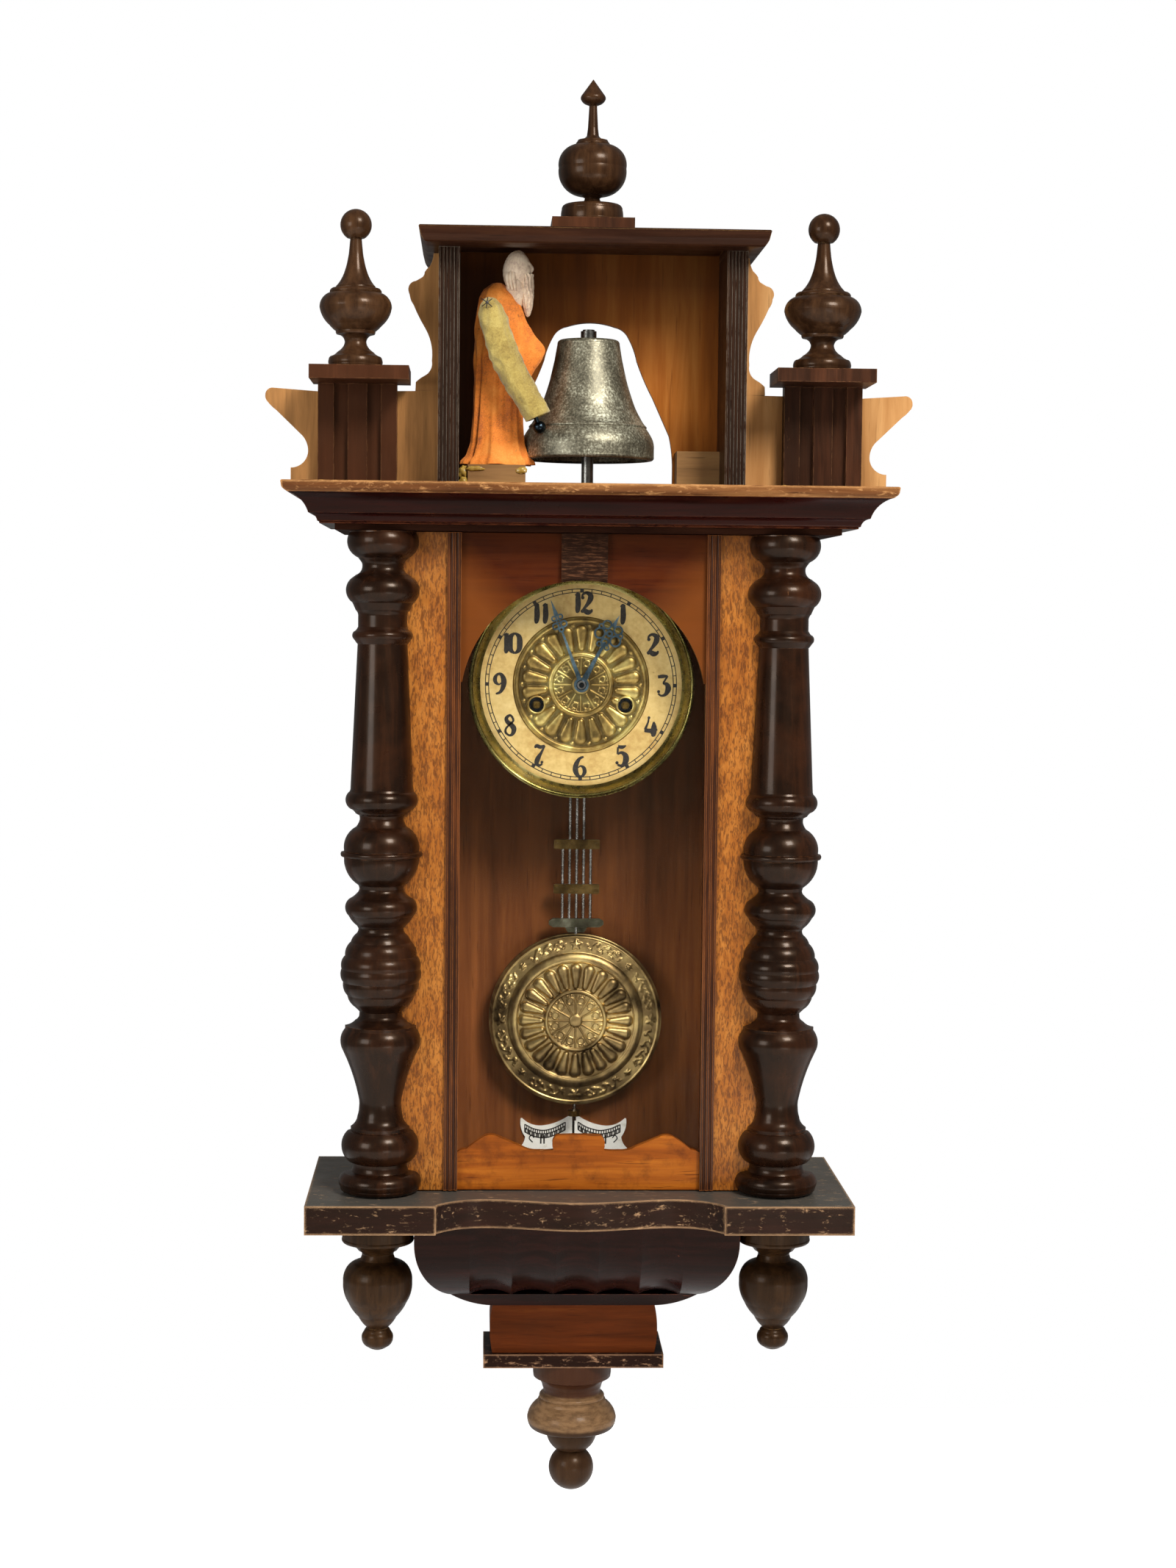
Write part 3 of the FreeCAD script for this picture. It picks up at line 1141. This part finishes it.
def make_hands():
    """Hour and minute hands, the pipes that carry them, and the wheels between them."""
    hour = make_hand(hour_hand_length, hour_hand_width, (0.52, 0.92), hour_hand_angle, hour_hand_depth,
                     hour_pipe_radius)
    save("hour_hand", hour)
    minute = make_hand(minute_hand_length, minute_hand_width, (0.55, 0.86), minute_hand_angle,
                       minute_hand_depth, cannon_pipe_radius)
    save("minute_hand", minute)
    front = front_plate_depth + seat
    teeth_sum = cannon_teeth + minute_wheel_teeth
    spacing = teeth_sum * work_module / 2
    bearing = math.radians(minute_wheel_bearing)
    wheel_x = spacing * math.cos(bearing)
    wheel_z = dial_z + spacing * math.sin(bearing)
    line_share = 90 - minute_wheel_bearing
    cannon_turn = line_share / 360 * cannon_teeth
    cannon = gear(cannon_teeth, work_module, pinion_length * 0.7, 0, 0, front, dial_z, cannon_turn)
    pipe_end = minute_hand_depth + hand_thickness
    cannon = cannon.fuse(rod(0, front, dial_z, pipe_end - front, cannon_pipe_radius))
    cannon = cannon.cut(rod(0, front - overrun, dial_z, pipe_end - front + 2 * overrun,
                            centre_arbor_radius + running))
    nut = rod(0, pipe_end, dial_z, hand_nut_height, hand_nut_radius)
    nut = nut.cut(rod(0, pipe_end - overrun, dial_z, hand_nut_height + 2 * overrun,
                      centre_arbor_radius + running))
    save("cannon_pinion", cannon.removeSplitter(), nut)
    back_share = (line_share + 180) / 360
    wheel_turn = back_share * minute_wheel_teeth + 0.5
    wheel = gear(minute_wheel_teeth, work_module, wheel_thickness, 0, wheel_x, front, wheel_z, wheel_turn)
    pinion_turn = back_share * minute_pinion_teeth
    pinion_depth = front + wheel_thickness
    pinion = gear(minute_pinion_teeth, work_module, pinion_length, 0, wheel_x, pinion_depth, wheel_z,
                  pinion_turn)
    wheel = wheel.fuse(pinion)
    wheel = wheel.cut(rod(wheel_x, front - overrun, wheel_z, pinion_length + wheel_thickness + 2 * overrun,
                          arbor_radius + running))
    save("minute_wheel", wheel.removeSplitter())
    hour_turn = line_share / 360 * hour_wheel_teeth + 0.5
    hour_depth = pinion_depth + pinion_length * 0.4
    hour_wheel = gear(hour_wheel_teeth, work_module, wheel_thickness, 0, 0, hour_depth, dial_z, hour_turn)
    hour_pipe = rod(0, hour_depth, dial_z, hour_hand_depth + hand_thickness - hour_depth, hour_pipe_radius)
    hour_wheel = hour_wheel.fuse(hour_pipe)
    hour_wheel = hour_wheel.cut(rod(0, hour_depth - overrun, dial_z, hour_hand_depth,
                                    cannon_pipe_radius + running))
    save("hour_wheel", hour_wheel.removeSplitter())
    return wheel_x, wheel_z


def third_place():
    """Place of the third arbor, in mesh with the centre wheel and the escape pinion."""
    from_centre = train_module * (centre_teeth + train_pinion_teeth) / 2
    from_escape = train_module * (third_teeth + train_pinion_teeth) / 2
    above = (from_centre ** 2 - from_escape ** 2 + escape_above ** 2) / (2 * escape_above)
    return math.sqrt(from_centre ** 2 - above ** 2), dial_z + above


def mesh_turn(teeth, x0, z0, x1, z1, tooth_share):
    """Turn of a wheel at x0, z0 that puts a tooth, or a gap, on the line to x1, z1."""
    angle = math.atan2(x1 - x0, z1 - z0)
    return angle / (2 * math.pi) * teeth + tooth_share


def arbor(x, z, reach):
    """Arbor between the plates with thinner pivots in them; reach is its pivots' overhang."""
    inside = back_plate_depth + movement_plate + seat
    length = front_plate_depth - movement_plate - seat - inside
    body = rod(x, inside, z, length, arbor_radius)
    return body.fuse(rod(x, back_plate_depth - reach, z, front_plate_depth - back_plate_depth + 2 * reach,
                         pivot_radius))


def make_train():
    """Centre, third and escape wheels on their arbors, each in mesh with the next."""
    third_x, third_z = third_place()
    wheel_one = back_plate_depth + movement_plate + pinion_length / 2
    wheel_two = wheel_one + pinion_length + seat
    turn = mesh_turn(centre_teeth, 0, dial_z, third_x, third_z, 0)
    centre = gear(centre_teeth, train_module, wheel_thickness, 0, 0, wheel_one, dial_z, turn)
    centre = centre.fuse(arbor(0, dial_z, 0))
    tip = minute_hand_depth + hand_thickness + hand_nut_height
    centre = centre.fuse(rod(0, front_plate_depth - movement_plate - seat, dial_z,
                             tip - front_plate_depth + movement_plate + seat, centre_arbor_radius))
    save("centre_wheel", centre.removeSplitter())
    pinion_turn = mesh_turn(train_pinion_teeth, third_x, third_z, 0, dial_z, 0.5)
    pinion = gear(train_pinion_teeth, train_module, pinion_length * 0.8, 0, third_x,
                  wheel_one - wheel_thickness / 2, third_z, pinion_turn)
    turn = mesh_turn(third_teeth, third_x, third_z, 0, escape_z, 0)
    third = gear(third_teeth, train_module, wheel_thickness, 0, third_x, wheel_two, third_z, turn)
    third = third.fuse(pinion).fuse(arbor(third_x, third_z, 0))
    save("third_wheel", third.removeSplitter())
    pinion_turn = mesh_turn(train_pinion_teeth, 0, escape_z, third_x, third_z, 0.5)
    pinion = gear(train_pinion_teeth, train_module, pinion_length * 0.8, 0, 0,
                  wheel_two - wheel_thickness / 2, escape_z, pinion_turn)
    corners = []
    for number in range(escape_teeth):
        for radius_share, turn_share in ((0.86, 0.0), (0.86, 0.62), (1.0, 0.9), (1.0, 0.98)):
            angle = 2 * math.pi * (number + turn_share) / escape_teeth
            radius = escape_radius * radius_share
            corners.append(FreeCAD.Vector(radius * math.sin(angle), 0, radius * math.cos(angle)))
    face = Part.Face(Part.makePolygon(corners + corners[:1]))
    face.translate(FreeCAD.Vector(0, 0, escape_z))
    wheel = across(face, anchor_depth, wheel_thickness)
    escape = wheel.fuse(pinion).fuse(arbor(0, escape_z, 0))
    save("escape_wheel", escape.removeSplitter())


def make_barrels():
    """Spring barrels with their winding arbors and the squares that take the key."""
    for name, side in (("going_barrel", -1), ("strike_barrel", 1)):
        x = side * winding_x
        z = dial_z - winding_drop
        drum = rod(x, barrel_back_depth, z, barrel_height, barrel_radius)
        shaft = rod(x, back_plate_depth, z, dial_back_depth - back_plate_depth, winding_arbor_radius)
        half = winding_square / 2
        square = block(x - half, x + half, dial_back_depth, winding_square_depth, z - half, z + half)
        save(name, drum.fuse(shaft).fuse(square).removeSplitter())


def make_anchor():
    """Anchor over the escape wheel, its arbor, and the crutch behind the back plate."""
    reach = back_plate_depth - crutch_depth
    body = arbor(0, anchor_z, 0)
    body = body.fuse(rod(0, crutch_depth - crutch_thickness, anchor_z, reach + crutch_thickness
                         + movement_plate, pivot_radius))
    span = escape_radius + pallet_clear
    drop = anchor_above - escape_above
    lower = drop * 0.45
    outline = [(0, arbor_radius * 2, 0), (-span, -lower, -0.12), (-span - arbor_radius, -drop * 0.75, 0),
               (-span, -drop * 0.75, 0), (-span + arbor_radius * 0.5, -drop * 0.62, 0),
               (0, -arbor_radius * 1.4, 0.1)]
    other = [(-u, v, 0) for u, v, unused in reversed(outline[1:-1])]
    bows = (0.1, 0, 0, 0)
    other = [(u, v, bow) for (u, v, unused), bow in zip(other, bows)]
    closing = (0, arbor_radius * 2, -0.12)
    face = Part.Face(Part.Wire(bowed_edges(outline + other + [closing])))
    face.translate(FreeCAD.Vector(0, 0, anchor_z))
    anchor = across(face, anchor_depth, wheel_thickness)
    wheel_space = rod(0, anchor_depth - overrun, escape_z, wheel_thickness + 2 * overrun,
                      escape_radius + pallet_clear)
    body = body.fuse(anchor.cut(wheel_space))
    half = crutch_width / 2
    crutch = block(-half, half, crutch_depth - crutch_thickness, crutch_depth,
                   anchor_z - crutch_length, anchor_z + half)
    pin_back = pendulum_depth - bar_thickness
    pin = rod(0, pin_back, anchor_z - crutch_length + half, crutch_depth - pin_back, crutch_pin_radius)
    save("anchor_crutch", body.fuse(crutch).fuse(pin).removeSplitter())


def make_pendulum():
    """Gridiron pendulum: pivot, rods, bars, bob and rating nut."""
    d = pendulum_depth
    pin_back = board + seat
    pivot = rod(0, pin_back, anchor_z, d + bar_thickness / 2 - pin_back, pivot_rod_radius)
    half = bar_thickness / 2
    slot_z = anchor_z - crutch_length + crutch_width / 2
    hanger = upright(0, d, slot_z, anchor_z - slot_z, rod_radius)
    slot_plate = block(-slot_plate_width / 2, slot_plate_width / 2, d - half / 2, d + half / 2,
                       slot_z - slot_plate_height / 2, slot_z + slot_plate_height / 2)
    slot = rod(0, d - bar_thickness, slot_z, 2 * bar_thickness, crutch_pin_radius + slot_clear)
    drops = [bob_drop * share for share in bar_drop_shares]
    top_bar_z = anchor_z - drops[0]
    neck = upright(0, d, top_bar_z, slot_z - slot_plate_height / 3 - top_bar_z, rod_radius)
    body = pivot.fuse(hanger).fuse(slot_plate).fuse(neck)
    for drop, width in zip(drops, bar_half_widths):
        z = anchor_z - drop
        body = body.fuse(block(-width, width, d - half, d + half, z - bar_height / 2, z + bar_height / 2))
    low = bob_z + bob_radius
    for place in (-2, -1, 0, 1, 2):
        start = drops[1] if abs(place) == 2 else drops[0]
        end = anchor_z - drops[3] if abs(place) == 2 else low - bob_rim
        if abs(place) == 1:
            end = anchor_z - drops[3]
        body = body.fuse(upright(place * rod_spacing, d, end, anchor_z - start - end, rod_radius))
    stem_z = bob_z - bob_radius - stem_below_bob
    stem = upright(0, d, stem_z, bob_rim + stem_below_bob, stem_radius)
    body = body.cut(slot)
    bob = [(0, 0, 0), (0, bob_thickness, 0), (bob_radius * 0.7, bob_thickness * 0.82, 0.04),
           (bob_radius * 0.78, bob_thickness * 0.6, 0), (bob_radius - bob_rim, bob_thickness * 0.5, 0.02),
           (bob_radius, bob_thickness * 0.35, 0.2), (bob_radius, bob_thickness * 0.2, 0),
           (bob_radius - bob_rim, 0, 0.2)]
    disc = Part.Face(Part.Wire(bowed_edges(bob + [bob[0]])))
    disc = disc.revolve(FreeCAD.Vector(0, 0, 0), FreeCAD.Vector(0, 0, 1), 360)
    disc.rotate(FreeCAD.Vector(0, 0, 0), FreeCAD.Vector(1, 0, 0), 90)
    disc.translate(point(0, d - half - stem_radius, bob_z))
    save("pendulum_rods", body.cut(disc).removeSplitter(), stem.cut(disc))
    save("pendulum_bob", disc)
    nut_z = bob_z - bob_radius - stem_below_bob * 0.36
    nut = upright(0, d, nut_z - rating_nut_height, rating_nut_height, rating_nut_radius)
    nut = nut.cut(upright(0, d, nut_z - 2 * rating_nut_height, 3 * rating_nut_height, stem_radius))
    save("rating_nut", nut)


def make_movement_frame(stud_x, stud_z, lever_stud):
    """Plates, pillars, posts to the backboard, dial feet, and the cock that hangs the pendulum."""
    z0 = dial_z - plate_bottom_below
    z1 = dial_z + plate_top_above
    half = plate_half_width
    plates = []
    third_x, third_z = third_place()
    pivots = [(third_x, third_z, pivot_radius), (0, escape_z, pivot_radius), (0, anchor_z, pivot_radius)]
    for side in (-1, 1):
        pivots.append((side * winding_x, dial_z - winding_drop, winding_arbor_radius))
    for back, front, centre in ((back_plate_depth, back_plate_depth + movement_plate, pivot_radius),
                                (front_plate_depth - movement_plate, front_plate_depth,
                                 centre_arbor_radius)):
        sheet = block(-half, half, back, front, z0, z1)
        for x, z, radius in pivots + [(0, dial_z, centre)]:
            sheet = sheet.cut(rod(x, back - overrun, z, movement_plate + 2 * overrun, radius + running))
        plates.append(sheet)
    stud = rod(stud_x, front_plate_depth, stud_z, seat + wheel_thickness + pinion_length, arbor_radius)
    plates[1] = plates[1].fuse(stud).removeSplitter()
    solids = list(plates)
    gap = front_plate_depth - back_plate_depth - 2 * movement_plate
    inset = pillar_inset
    foot_inset = dial_foot_inset
    for x in (-half + inset, half - inset):
        for z in (z0 + inset, z1 - inset):
            solids.append(rod(x, back_plate_depth + movement_plate, z, gap, pillar_radius))
            solids.append(rod(x, board, z, back_plate_depth - board, pillar_radius))
    for x in (-half + foot_inset, half - foot_inset):
        solids.append(rod(x, front_plate_depth, z1 - foot_inset, dial_back_depth - front_plate_depth,
                          dial_foot_radius))
        solids.append(rod(x, front_plate_depth, z0 + dial_foot_radius, dial_back_depth - front_plate_depth,
                          dial_foot_radius))
    cock = block(-cock_width / 2, cock_width / 2, board, pendulum_depth - bar_thickness,
                 anchor_z - cock_height / 2, anchor_z + cock_height / 2)
    cock = cock.cut(rod(0, board, anchor_z, cock_front_depth, pivot_rod_radius + running))
    solids += [cock, lever_stud]
    save("movement_frame", *solids)


os.makedirs("parts", exist_ok=True)
make_backboard()
make_case_sides()
make_cornice()
make_shelf()
make_bowl()
make_pendants()
make_stage()
make_crest()
make_bell()
wire_place_x, lever_place_z = make_figure()
lever_stud_piece = make_lift_lever(wire_place_x, lever_place_z)
make_beat_scale()
make_door()
make_hardware()
make_dial()
stud_place_x, stud_place_z = make_hands()
make_train()
make_barrels()
make_anchor()
make_pendulum()
make_movement_frame(stud_place_x, stud_place_z, lever_stud_piece)
